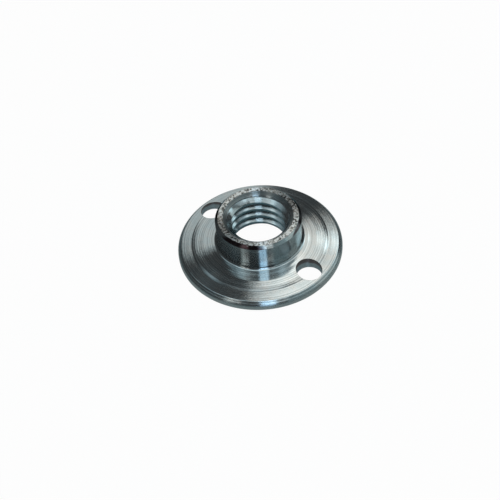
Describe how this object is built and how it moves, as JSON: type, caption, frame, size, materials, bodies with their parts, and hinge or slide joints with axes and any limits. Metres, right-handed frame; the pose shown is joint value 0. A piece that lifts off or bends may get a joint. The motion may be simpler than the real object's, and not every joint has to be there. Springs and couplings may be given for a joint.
{
  "type": "lock nut",
  "caption": "Round flanged lock nut with a raised threaded hub, a sloping clamping face and pin spanner holes in the flange.",
  "frame": {"origin": "middle of the flat outer face, on the thread's axis", "axes": "+Z along the thread's axis, from the flat face to the hub; the pin holes lie on X"},
  "size_m": [0.0412, 0.0412, 0.0111],
  "materials": {
    "zinc_plated_steel": "bluish zinc plate over fine turning marks"
  },
  "bodies": {
    "root": {"nut_body": "zinc_plated_steel"}
  },
  "joints": []
}
